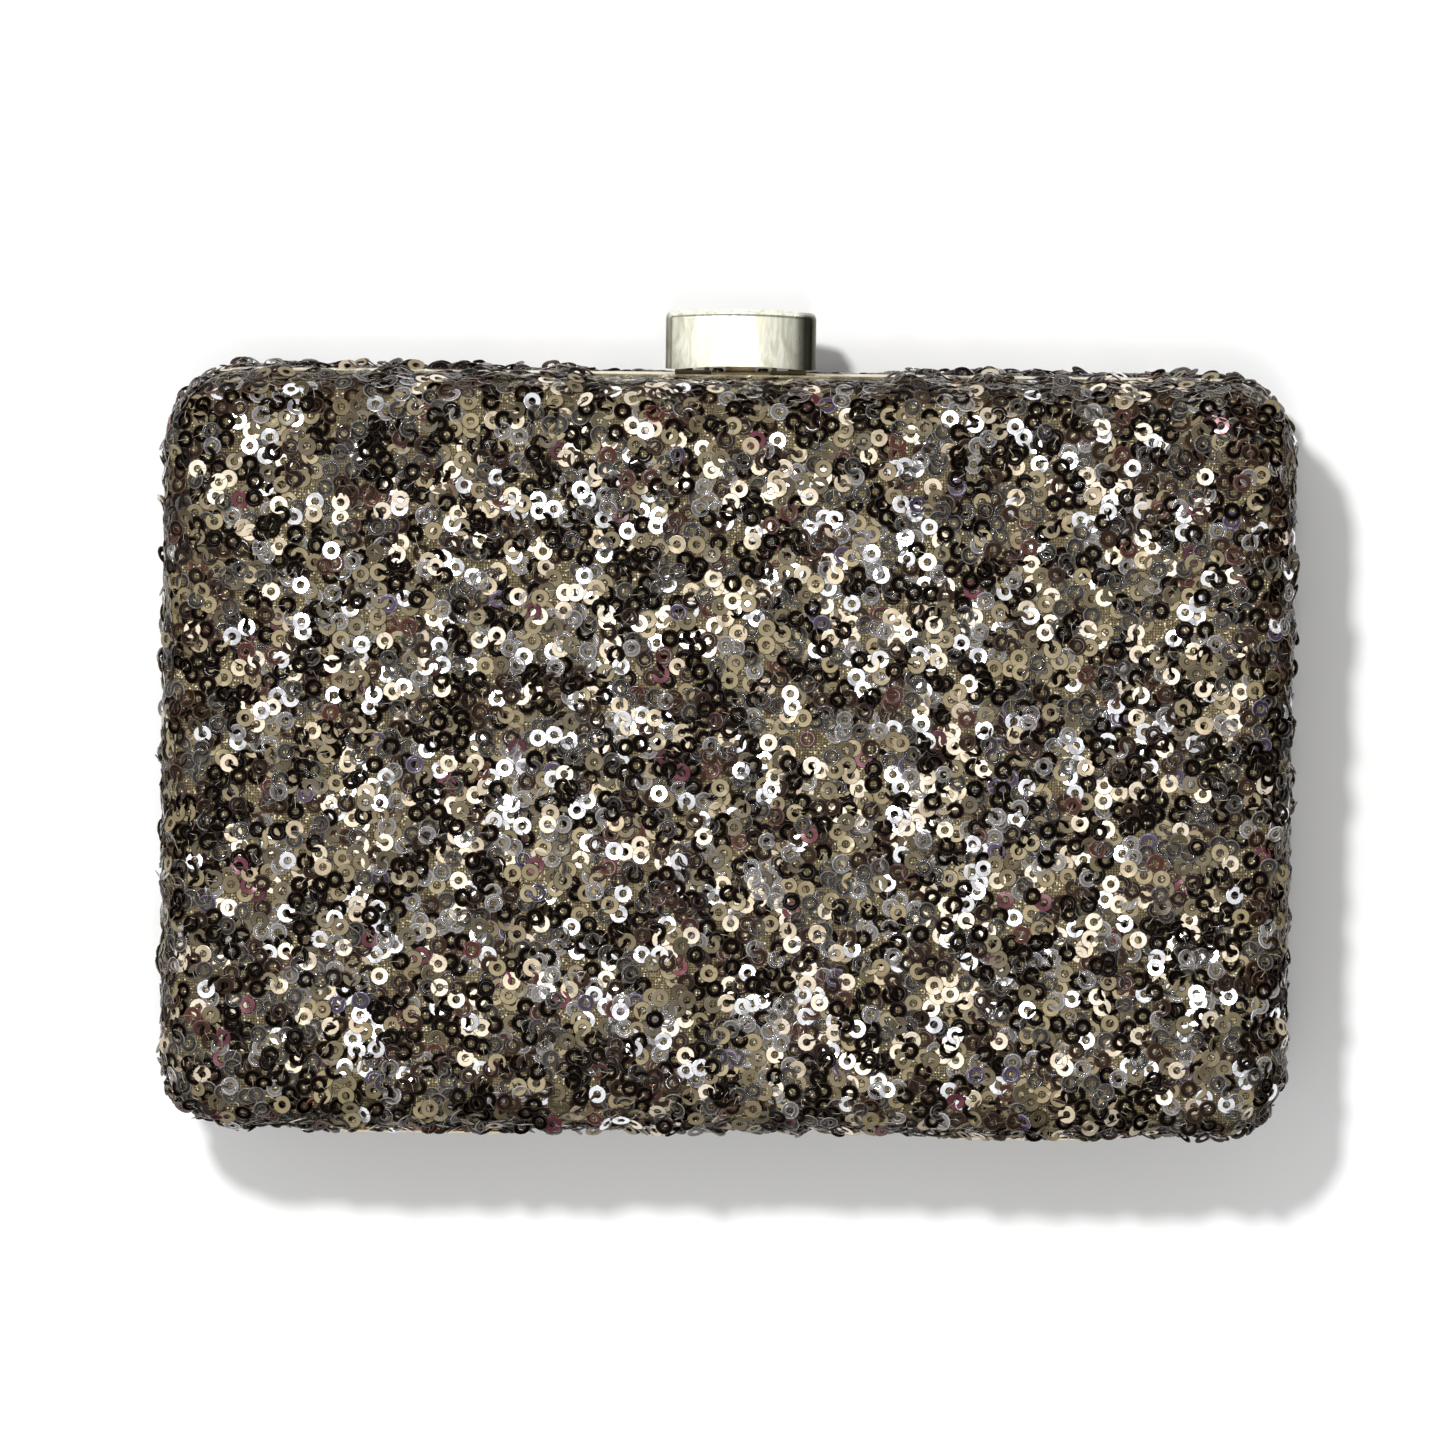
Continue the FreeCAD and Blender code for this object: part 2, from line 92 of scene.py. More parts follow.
# ---- camera and light ----------------------------------------------------------------
def set_up_camera():
    """Above the bag and a little towards its clasp edge, looking down on the front face."""
    distance = 1500 * MM
    view_width = 228.6 * MM
    lean = math.radians(5.3)
    roll = math.radians(0.7)
    aim = Vector((-0.7 * MM, middle_y + 6.0 * MM, 2 * half_depth))
    back = Vector((0, math.sin(lean), math.cos(lean)))
    level_right = Vector((0, 1, 0)).cross(back).normalized()
    level_up = back.cross(level_right)
    right = math.cos(roll) * level_right + math.sin(roll) * level_up
    up = math.cos(roll) * level_up - math.sin(roll) * level_right
    sensor = 36  # in mm, as Blender gives it
    lens = bpy.data.cameras.new("camera")
    lens.sensor_width = sensor
    lens.lens = sensor * distance / view_width
    lens.clip_start = 0.05
    lens.clip_end = 20
    camera = bpy.data.objects.new("camera", lens)
    bpy.context.scene.collection.objects.link(camera)
    turn = Matrix((right, up, back)).transposed().to_4x4()
    camera.matrix_world = Matrix.Translation(aim + back * distance) @ turn
    bpy.context.scene.camera = camera


def soft_light(name, place, aim, size, watts):
    """A round soft light at place, facing aim."""
    lamp = bpy.data.lights.new(name, "AREA")
    lamp.shape = "DISK"
    lamp.size = size
    lamp.energy = watts
    made = bpy.data.objects.new(name, lamp)
    bpy.context.scene.collection.objects.link(made)
    made.location = place
    made.rotation_mode = "QUATERNION"
    made.rotation_quaternion = (Vector(aim) - Vector(place)).to_track_quat("-Z", "Y")


set_up_camera()


# ---- node helpers --------------------------------------------------------------------
def plug(tree, socket, value):
    """Links a socket to another one, or sets its own value."""
    if isinstance(value, bpy.types.NodeSocket):
        tree.links.new(value, socket)
    elif isinstance(value, tuple) and len(value) == 3 and socket.type == "RGBA":
        socket.default_value = (*value, 1)
    else:
        socket.default_value = value


def add(tree, kind, settings=None, **values):
    """A shader node with its settings, and its inputs by name."""
    made = tree.nodes.new("ShaderNode" + kind)
    for name, value in (settings or {}).items():
        setattr(made, name, value)
    for name, value in values.items():
        plug(tree, made.inputs[name.replace("_", " ")], value)
    return made


def blend_colour(tree, share, first, second):
    """Two colours mixed by share."""
    made = tree.nodes.new("ShaderNodeMix")
    made.data_type = "RGBA"
    plug(tree, made.inputs[0], share)
    plug(tree, made.inputs[6], first)
    plug(tree, made.inputs[7], second)
    return made.outputs[2]


def spread(tree, value, low, high, to_low=0.0, to_high=1.0):
    """Value mapped from low..high to to_low..to_high, and clamped."""
    made = add(tree, "MapRange", None, From_Min=low, From_Max=high, To_Min=to_low, To_Max=to_high)
    plug(tree, made.inputs["Value"], value)
    return made.outputs[0]


def maths(tree, way, *values):
    """A Math node of one to three values."""
    made = tree.nodes.new("ShaderNodeMath")
    made.operation = way
    for number, value in enumerate(values):
        plug(tree, made.inputs[number], value)
    return made.outputs[0]


def object_place(tree):
    """Where a point lies on the bag at rest, in metres."""
    return add(tree, "TexCoord").outputs["Object"]


def noise(tree, place, scale, detail=2.0, distortion=0.0):
    """Soft random pattern over place."""
    made = add(tree, "TexNoise", None, Vector=place, Scale=scale, Detail=detail, Distortion=distortion)
    return made.outputs[0]


def raised(tree, height, strength, depth):
    """Normal of a surface raised by height, that many metres deep."""
    return add(tree, "Bump", None, Strength=strength, Distance=depth, Height=height).outputs[0]


SOCKETS = {"colour": "NodeSocketColor", "value": "NodeSocketFloat", "vector": "NodeSocketVector"}


def open_group(name, inputs, outputs):
    """An empty node group with its sockets: the tree, its input node and its output node."""
    tree = bpy.data.node_groups.new(name, "ShaderNodeTree")
    for label, kind, value in inputs:
        socket = tree.interface.new_socket(name=label, in_out="INPUT", socket_type=SOCKETS[kind])
        socket.default_value = (*value, 1) if kind == "colour" else value
    for label, kind in outputs:
        tree.interface.new_socket(name=label, in_out="OUTPUT", socket_type=SOCKETS[kind])
    return tree, tree.nodes.new("NodeGroupInput").outputs, tree.nodes.new("NodeGroupOutput").inputs


def use_group(tree, group, **values):
    """A group placed in a material, with its own values."""
    made = tree.nodes.new("ShaderNodeGroup")
    made.node_tree = group
    for name, value in values.items():
        plug(tree, made.inputs[name.replace("_", " ")], value)
    return made.outputs


def finish_of(name, **values):
    """A material with one Principled shader: its tree, the shader and the material."""
    material = bpy.data.materials.new(name)
    material.use_nodes = True
    tree = material.node_tree
    shader = tree.nodes["Principled BSDF"]
    for label, value in values.items():
        plug(tree, shader.inputs[label.replace("_", " ")], value)
    return tree, shader, material


# ---- effects shared by several finishes ----------------------------------------------
def sequin_film_group():
    """Tone of one sequin between two colours, with the faint clouding and grain of foil."""
    tree, given, gives = open_group(
        "Sequin film",
        [("Pale", "colour", (0.5, 0.5, 0.5)), ("Deep", "colour", (0.1, 0.1, 0.1)),
         ("Cut edge", "colour", (0.1, 0.1, 0.1)), ("Polish", "value", 0.2), ("Clouding", "value", 0.3)],
        [("Colour", "colour"), ("Roughness", "value"), ("Normal", "vector"), ("Rim", "value")],
    )
    rim = add(tree, "Attribute", {"attribute_name": "rim"}).outputs["Fac"]
    plug(tree, gives["Rim"], rim)
    island = add(tree, "NewGeometry").outputs["Random Per Island"]
    place = object_place(tree)
    cloud = noise(tree, place, 900.0)
    grain = noise(tree, place, 5200.0, 1.0)
    tone = maths(tree, "MULTIPLY_ADD", maths(tree, "SUBTRACT", cloud, 0.5), given["Clouding"], island)
    tone.node.use_clamp = True
    colour = blend_colour(tree, tone, given["Deep"], given["Pale"])
    # The rim takes the painted rim colour: a painted highlight on film, painted shade on foil.
    plug(tree, gives["Colour"], blend_colour(tree, rim, colour, given["Cut edge"]))
    uneven = spread(tree, cloud, 0.3, 0.7, -0.3, 0.5)
    rough = maths(tree, "MULTIPLY_ADD", uneven, given["Polish"], given["Polish"])
    plug(tree, gives["Roughness"], rough)
    plug(tree, gives["Normal"], raised(tree, grain, 0.12, 0.03 * MM))
    return tree


def metal_wear_group():
    """Plated metal with hairline scratches and clouds of faint tarnish."""
    tree, given, gives = open_group(
        "Metal wear",
        [("Plate", "colour", (0.8, 0.7, 0.5)), ("Tarnish", "colour", (0.4, 0.3, 0.2)),
         ("Polish", "value", 0.2), ("Scratches", "value", 0.3), ("Scale", "value", 1.0)],
        [("Colour", "colour"), ("Roughness", "value"), ("Normal", "vector")],
    )
    place = object_place(tree)
    sized = add(tree, "VectorMath", {"operation": "SCALE"})
    plug(tree, sized.inputs[0], place)
    plug(tree, sized.inputs["Scale"], given["Scale"])
    place = sized.outputs[0]
    cloud = noise(tree, place, 160.0, 4.0)
    along = add(tree, "Mapping", None, Vector=place, Scale=(60.0, 4200.0, 4200.0)).outputs[0]
    across = add(tree, "Mapping", None, Vector=place, Scale=(4200.0, 90.0, 2600.0)).outputs[0]
    first = noise(tree, along, 1.0)
    second = noise(tree, across, 1.0)
    lines = maths(tree, "MAXIMUM", spread(tree, first, 0.6, 0.75), spread(tree, second, 0.62, 0.78))
    lines = maths(tree, "MULTIPLY", lines, given["Scratches"])
    dull = spread(tree, cloud, 0.5, 0.8, 0.0, 0.45)
    plug(tree, gives["Colour"], blend_colour(tree, dull, given["Plate"], given["Tarnish"]))
    rough = maths(tree, "MULTIPLY_ADD", maths(tree, "ADD", lines, dull), 0.22, given["Polish"])
    plug(tree, gives["Roughness"], rough)
    plug(tree, gives["Normal"], raised(tree, lines, 0.25, 0.02 * MM))
    return tree


def cloth_weave_group():
    """Plain weave in the cloth's own plane: threads over and under, with uneven dye."""
    tree, given, gives = open_group(
        "Cloth weave",
        [("Thread", "colour", (0.5, 0.5, 0.5)), ("Gap", "colour", (0.1, 0.1, 0.1)),
         ("Threads per metre", "value", 2500.0), ("Slub", "value", 0.3)],
        [("Colour", "colour"), ("Height", "value"), ("Roughness", "value")],
    )
    place = object_place(tree)
    drift = add(tree, "TexNoise", None, Vector=place, Scale=420.0, Detail=2.0)
    moved = add(tree, "VectorMath", {"operation": "MULTIPLY_ADD"})
    plug(tree, moved.inputs[0], drift.outputs["Color"])
    plug(tree, moved.inputs[1], (0.0003, 0.0003, 0.0003))
    plug(tree, moved.inputs[2], place)
    parts = add(tree, "SeparateXYZ", None, Vector=moved.outputs[0])
    turn = maths(tree, "MULTIPLY", given["Threads per metre"], math.pi)
    waves = []
    for axis in range(3):
        wave = maths(tree, "SINE", maths(tree, "MULTIPLY", parts.outputs[axis], turn))
        waves.append(maths(tree, "MULTIPLY", wave, wave))
    facing = add(tree, "SeparateXYZ", None, Vector=add(tree, "TexCoord").outputs["Normal"])
    over = 0.0
    for axis, (warp, weft) in enumerate(((1, 2), (2, 0), (0, 1))):
        facet = maths(tree, "MULTIPLY", facing.outputs[axis], facing.outputs[axis])
        crossing = maths(tree, "MULTIPLY", maths(tree, "ADD", waves[warp], waves[weft]), 0.5)
        over = maths(tree, "MULTIPLY_ADD", facet, crossing, over)
    slub = noise(tree, place, 260.0, 3.0)
    tone = maths(tree, "MULTIPLY_ADD", maths(tree, "SUBTRACT", slub, 0.5), given["Slub"], over)
    tone.node.use_clamp = True
    plug(tree, gives["Colour"], blend_colour(tree, tone, given["Gap"], given["Thread"]))
    plug(tree, gives["Height"], over)
    plug(tree, gives["Roughness"], spread(tree, slub, 0.3, 0.7, 0.45, 0.7))
    return tree


sequin_film = sequin_film_group()
metal_wear = metal_wear_group()
cloth_weave = cloth_weave_group()


# ---- finishes ------------------------------------------------------------------------
def sequin_finish(name, pale, deep, edge, polish, grained=False, body=1.0, gleam=0.0, **values):
    """Foil or film of one kind of sequin. Foil is grained, and film is smooth.

    Body is how much film hides, gleam is how metallic its rim looks, and edge is the rim colour: a painted
    highlight on film and painted shade on foil."""
    tree, shader, material = finish_of(name, **values)
    film = use_group(tree, sequin_film, Pale=pale, Deep=deep, Cut_edge=edge, Polish=polish)
    plug(tree, shader.inputs["Base Color"], film["Colour"])
    plug(tree, shader.inputs["Roughness"], film["Roughness"])
    if grained:
        plug(tree, shader.inputs["Normal"], film["Normal"])
    if body < 1:
        plug(tree, shader.inputs["Alpha"], spread(tree, film["Rim"], 0.0, 0.8, body, 1.0))
    if gleam:
        plug(tree, shader.inputs["Metallic"], maths(tree, "MULTIPLY", film["Rim"], gleam))
    return material


def plated_finish(name, plate, tarnish, polish, scratches=0.5, scale=1.0):
    """Plated metal with light wear."""
    tree, shader, material = finish_of(name, Metallic=1.0)
    wear = use_group(
        tree, metal_wear, Plate=plate, Tarnish=tarnish, Polish=polish, Scratches=scratches, Scale=scale
    )
    plug(tree, shader.inputs["Base Color"], wear["Colour"])
    plug(tree, shader.inputs["Roughness"], wear["Roughness"])
    plug(tree, shader.inputs["Normal"], wear["Normal"])
    return material


def cloth_finish(name, thread, gap, per_metre, slub, depth, **values):
    """Woven cloth."""
    tree, shader, material = finish_of(name, **values)
    weave = use_group(tree, cloth_weave, Thread=thread, Gap=gap, Threads_per_metre=per_metre, Slub=slub)
    plug(tree, shader.inputs["Base Color"], weave["Colour"])
    plug(tree, shader.inputs["Roughness"], weave["Roughness"])
    plug(tree, shader.inputs["Normal"], raised(tree, weave["Height"], 0.6, depth))
    return material


def lurex_cloth():
    """Khaki backing cloth with metal yarn that sparkles in small points."""
    tree, shader, material = finish_of("lurex backing cloth", Specular_IOR_Level=0.35)
    weave = use_group(
        tree, cloth_weave, Thread=(0.255, 0.20, 0.10), Gap=(0.028, 0.019, 0.008),
        Threads_per_metre=2300.0, Slub=0.9,
    )
    place = object_place(tree)
    cells = add(tree, "TexVoronoi", None, Vector=place, Scale=4200.0)
    parts = add(tree, "SeparateColor", None, Color=cells.outputs["Color"])
    glint = spread(tree, parts.outputs[0], 0.90, 0.95)
    dark = spread(tree, parts.outputs[1], 0.72, 0.86, 0.0, 0.75)
    colour = blend_colour(tree, dark, weave["Colour"], (0.045, 0.03, 0.015))
    colour = blend_colour(tree, glint, colour, (0.95, 0.86, 0.62))
    plug(tree, shader.inputs["Base Color"], colour)
    plug(tree, shader.inputs["Metallic"], maths(tree, "MULTIPLY", glint, 0.5))
    plug(tree, shader.inputs["Roughness"], weave["Roughness"])
    plug(tree, shader.inputs["Normal"], raised(tree, weave["Height"], 0.8, 0.25 * MM))
    return material


def moulded_tray():
    """Dark moulded board with a fine eggshell grain."""
    tree, shader, material = finish_of("moulded tray", Specular_IOR_Level=0.4)
    place = object_place(tree)
    grain = noise(tree, place, 1800.0, 3.0)
    patch = noise(tree, place, 60.0, 3.0)
    colour = blend_colour(tree, patch, (0.020, 0.018, 0.016), (0.045, 0.041, 0.037))
    plug(tree, shader.inputs["Base Color"], colour)
    plug(tree, shader.inputs["Roughness"], spread(tree, grain, 0.3, 0.7, 0.45, 0.65))
    plug(tree, shader.inputs["Normal"], raised(tree, grain, 0.3, 0.05 * MM))
    return material


def clasp_gold():
    """Polished pale gold with soft upright brush marks, painted reflection in upright bands and painted shade
    at both ends.
    """
    tree, shader, material = finish_of("polished clasp gold", Metallic=1.0)
    place = object_place(tree)
    streak = add(tree, "Mapping", None, Vector=place, Scale=(2600.0, 70.0, 2600.0)).outputs[0]
    fine = noise(tree, streak, 1.0, 3.0)
    # The pale and darker upright bands in the colour are painted reflection.
    painted_reflection_band = add(tree, "Mapping", None, Vector=place, Scale=(640.0, 150.0, 110.0)).outputs[0]
    wide = noise(tree, painted_reflection_band, 1.0, 3.0, 1.6)
    colour = blend_colour(tree, spread(tree, wide, 0.42, 0.64), (0.98, 0.97, 0.83), (0.66, 0.65, 0.50))
    # Both ends are painted dark, as painted shade on the ends of the cap.
    side = add(tree, "SeparateXYZ", None, Vector=place).outputs[0]
    right_painted_shade = spread(tree, side, clasp_x + 8.6 * MM, clasp_x + 10.2 * MM, 0.0, 0.92)
    left_painted_shade = spread(tree, side, clasp_x - 11.2 * MM, clasp_x - 11.7 * MM, 0.0, 0.8)
    painted_end_shade = maths(tree, "MAXIMUM", right_painted_shade, left_painted_shade)
    plug(tree, shader.inputs["Base Color"], blend_colour(tree, painted_end_shade, colour, (0.055, 0.05, 0.03)))
    broad = spread(tree, wide, 0.3, 0.7, 0.25, 0.37)
    hairline = spread(tree, fine, 0.4, 0.7, 0.0, 0.1)
    plug(tree, shader.inputs["Roughness"], maths(tree, "ADD", broad, hairline))
    plug(tree, shader.inputs["Normal"], raised(tree, fine, 0.35, 0.02 * MM))
    return material


def clear_thread():
    """Fine clear sewing thread."""
    tree, shader, material = finish_of("clear sewing thread", Specular_IOR_Level=0.8)
    place = object_place(tree)
    tone = noise(tree, place, 700.0)
    colour = blend_colour(tree, spread(tree, tone, 0.4, 0.6), (0.16, 0.13, 0.08), (0.62, 0.56, 0.42))
    plug(tree, shader.inputs["Base Color"], colour)
    plug(tree, shader.inputs["Roughness"], spread(tree, tone, 0.3, 0.7, 0.15, 0.35))
    return material


def floor_paper():
    """Plain pale paper, which brightens into the backdrop far from the bag."""
    tree, shader, material = finish_of("floor paper", Roughness=0.9, Specular_IOR_Level=0.1)
    place = object_place(tree)
    tone = noise(tree, place, 3.0)
    colour = blend_colour(tree, tone, (0.94, 0.94, 0.94), (0.97, 0.97, 0.97))
    plug(tree, shader.inputs["Base Color"], colour)
    away = add(tree, "VectorMath", {"operation": "LENGTH"})
    plug(tree, away.inputs[0], place)
    far = spread(tree, away.outputs["Value"], 0.4, 2.2, 0.0, 0.72)
    seen = add(tree, "LightPath").outputs["Is Camera Ray"]
    glow = maths(tree, "MULTIPLY", far, seen)
    pale = blend_colour(tree, glow, (0.0, 0.0, 0.0), (1.0, 1.0, 1.0))
    plug(tree, shader.inputs["Emission Color"], pale)
    plug(tree, shader.inputs["Emission Strength"], 1.0)
    return material


# Shaded clasp gold is darkened as painted shade, for the pieces in the gap under the clasp cap.
shaded_gold = plated_finish("shaded clasp gold", (0.20, 0.15, 0.085), (0.08, 0.055, 0.03), 0.34, 0.8, 1.4)
pale_gold = plated_finish("frame gold", (0.86, 0.76, 0.52), (0.52, 0.42, 0.24), 0.17, 0.6)
hinge_gold = plated_finish("hinge gold", (0.66, 0.54, 0.33), (0.34, 0.25, 0.14), 0.24, 0.8, 1.4)
spring_steel = plated_finish("spring steel", (0.62, 0.62, 0.60), (0.34, 0.32, 0.29), 0.24, 0.6, 2.0)
clasp_finish = clasp_gold()
tray_finish = moulded_tray()
backing_finish = lurex_cloth()
thread_finish = clear_thread()
satin_finish = cloth_finish(
    "lining satin", (0.66, 0.56, 0.40), (0.40, 0.32, 0.21), 4200.0, 0.5, 0.00004,
    Sheen_Weight=0.5, Sheen_Roughness=0.35, Specular_IOR_Level=0.45,
)
binding_finish = cloth_finish(
    "binding grosgrain", (0.50, 0.40, 0.26), (0.26, 0.19, 0.11), 1700.0, 0.4, 0.0001,
    Sheen_Weight=0.3, Sheen_Roughness=0.4,
)

# Each kind: its share, whether it is flat foil or a rounded bead of film, and its finish, whose third colour
# is painted on the rim: a painted highlight on film, painted shade on foil.
sequin_kinds = {
    "jet": (0.30, False, sequin_finish(
        "jet sequin", (0.0036, 0.0016, 0.0009), (0.0006, 0.0003, 0.0001), (0.072, 0.050, 0.038), 0.07,
        gleam=0.7, Specular_IOR_Level=0.035)),
    "bronze": (0.11, False, sequin_finish(
        "bronze sequin", (0.026, 0.012, 0.007), (0.005, 0.0022, 0.0014), (0.19, 0.12, 0.078), 0.14,
        gleam=0.6, Specular_IOR_Level=0.15)),
    "smoke": (0.14, False, sequin_finish(
        "smoke sequin", (0.040, 0.034, 0.030), (0.006, 0.005, 0.004), (0.50, 0.46, 0.42), 0.08,
        body=0.55, gleam=0.5, Specular_IOR_Level=0.35)),
    "clear": (0.09, False, sequin_finish(
        "clear sequin", (0.30, 0.28, 0.27), (0.09, 0.082, 0.080), (0.96, 0.93, 0.92), 0.08,
        body=0.40, gleam=0.4, Specular_IOR_Level=0.9)),
    "khaki": (0.17, True, sequin_finish(
        "khaki sequin", (0.31, 0.245, 0.132), (0.048, 0.035, 0.015), (0.032, 0.023, 0.011), 0.38,
        grained=True, Metallic=0.2)),
    "cream": (0.122, True, sequin_finish(
        "cream sequin", (0.94, 0.83, 0.68), (0.44, 0.35, 0.23), (0.14, 0.10, 0.062), 0.32,
        grained=True, Metallic=0.4)),
    "silver": (0.075, True, sequin_finish(
        "silver sequin", (0.99, 0.99, 1.0), (0.76, 0.76, 0.80), (0.30, 0.30, 0.32), 0.20,
        grained=True, Metallic=0.8)),
    "copper": (0.020, False, sequin_finish(
        "copper sequin", (0.070, 0.019, 0.012), (0.02, 0.005, 0.003), (0.34, 0.18, 0.14), 0.15,
        gleam=0.5, Specular_IOR_Level=0.3)),
    "rose": (0.008, True, sequin_finish(
        "rose sequin", (0.15, 0.035, 0.050), (0.05, 0.008, 0.018), (0.03, 0.01, 0.012), 0.24,
        grained=True, Metallic=0.2)),
    "violet": (0.010, False, sequin_finish(
        "violet sequin", (0.070, 0.048, 0.085), (0.020, 0.012, 0.028), (0.46, 0.42, 0.54), 0.13,
        gleam=0.5, Specular_IOR_Level=0.4)),
}
dark_kinds = ("jet", "bronze", "smoke")
bright_kinds = ("cream", "silver", "clear")


# ---- mesh helpers --------------------------------------------------------------------
def mesh_piece(name, points, faces, finish):
    """A smooth object from points (n, 3) and faces (m, 3 or 4)."""
    mesh = bpy.data.meshes.new(name)
    points = np.asarray(points, np.float32)
    faces = np.asarray(faces, np.int32)
    corners = faces.shape[1]
    mesh.vertices.add(len(points))
    mesh.vertices.foreach_set("co", points.ravel())
    mesh.loops.add(faces.size)
    mesh.loops.foreach_set("vertex_index", faces.ravel())
    mesh.polygons.add(len(faces))
    mesh.polygons.foreach_set("loop_start", np.arange(len(faces), dtype=np.int32) * corners)
    mesh.polygons.foreach_set("use_smooth", np.full(len(faces), True))
    mesh.update(calc_edges=True)
    mesh.validate()
    mesh.materials.append(finish)
    made = bpy.data.objects.new(name, mesh)
    bpy.context.scene.collection.objects.link(made)
    return made


def outline(inset):
    """Points round a tray, that far inside the frame outline, and their outward directions."""
    radius = corner_radius - inset
    reach = np.array([half_width - corner_radius, half_height - corner_radius])
    points, outward = [], []
    for turn in range(4):
        angles = (turn + np.arange(corner_steps + 1) / corner_steps) * math.pi / 2
        arc = np.stack([np.cos(angles), np.sin(angles)], 1)
        corner = corner_signs[turn] * reach + arc * radius
        points.extend(corner)
        outward.extend(arc)
        target = corner_signs[(turn + 1) % 4] * reach + arc[-1] * radius
        steps = straight_steps[turn % 2]
        for k in range(1, steps):
            points.append(corner[-1] + (target - corner[-1]) * k / steps)
            outward.append(arc[-1])
    points = np.array(points) + np.array([0, middle_y])
    return points, np.array(outward)


def tray_rings(depth, side, start_z, rings=26, edge_steps=8, wall_steps=4):
    """Closed loops over one tray's surface at that depth: wall, rolled edge, then the face."""
    radius = face_edge_radius - depth
    inset = depth + frame_proud
    face_z = parting_z + side * (half_depth - depth)
    roll_z = face_z - side * radius
    loops = []
    for k in range(wall_steps):
        flat, _ = outline(inset)
        z = start_z + (roll_z - start_z) * k / wall_steps
        loops.append(np.column_stack([flat, np.full(len(flat), z)]))
    for k in range(edge_steps + 1):
        angle = math.pi / 2 * k / edge_steps
        flat, _ = outline(inset + radius * (1 - math.cos(angle)))
        z = roll_z + side * radius * math.sin(angle)
        loops.append(np.column_stack([flat, np.full(len(flat), z)]))
    centre = np.array([0, middle_y, face_z])
    edge = loops[-1]
    for k in range(1, rings):
        share = 1 - k / rings
        loops.append(centre + (edge - centre) * share)
    return loops


def tray_cloth(name, side, depth, sheet, start_z, finish, ruffle=None):
    """A cloth shell over or inside one tray: an outer and an inner layer joined at the rim."""
    outer = tray_rings(depth, side, start_z)
    inner = tray_rings(depth + sheet, side, start_z)
    if ruffle is not None:
        outer, inner = ruffle(outer, inner)
    count = len(outer[0])
    around = np.arange(count)
    after = (around + 1) % count
    faces = []
    layers = [outer, inner]
    points = []
    for number, loops in enumerate(layers):
        first = number * len(loops) * count + number
        for k in range(len(loops) - 1):
            low = first + k * count
            quad = np.stack([low + around, low + after, low + count + after, low + count + around], 1)
            faces.append(quad if number == 0 else quad[:, ::-1])
        middle = first + len(loops) * count
        last = first + (len(loops) - 1) * count
        fan = np.stack([last + around, last + after, np.full(count, middle), np.full(count, middle)], 1)
        faces.append(fan if number == 0 else fan[:, [1, 0, 2, 3]])
        points.extend(loops)
        points.append(loops[-1].mean(axis=0)[None])
    second = len(outer) * count + 1
    faces.append(np.stack([around, second + around, second + after, after], 1))
    every = np.concatenate(faces)
    if side < 0:
        every = every[:, ::-1]
    mesh = bpy.data.meshes.new(name)
    listed = [tuple(dict.fromkeys(f)) for f in every.tolist()]
    mesh.from_pydata(np.concatenate(points).tolist(), [], listed)
    mesh.validate()
    mesh.polygons.foreach_set("use_smooth", np.full(len(mesh.polygons), True))
    mesh.materials.append(finish)
    made = bpy.data.objects.new(name, mesh)
    bpy.context.scene.collection.objects.link(made)
    return made


# ---- the sequinned covers ------------------------------------------------------------
cloth_inset = cloth_depth + frame_proud
cloth_roll = face_edge_radius - cloth_depth
cloth_corner = corner_radius - cloth_inset


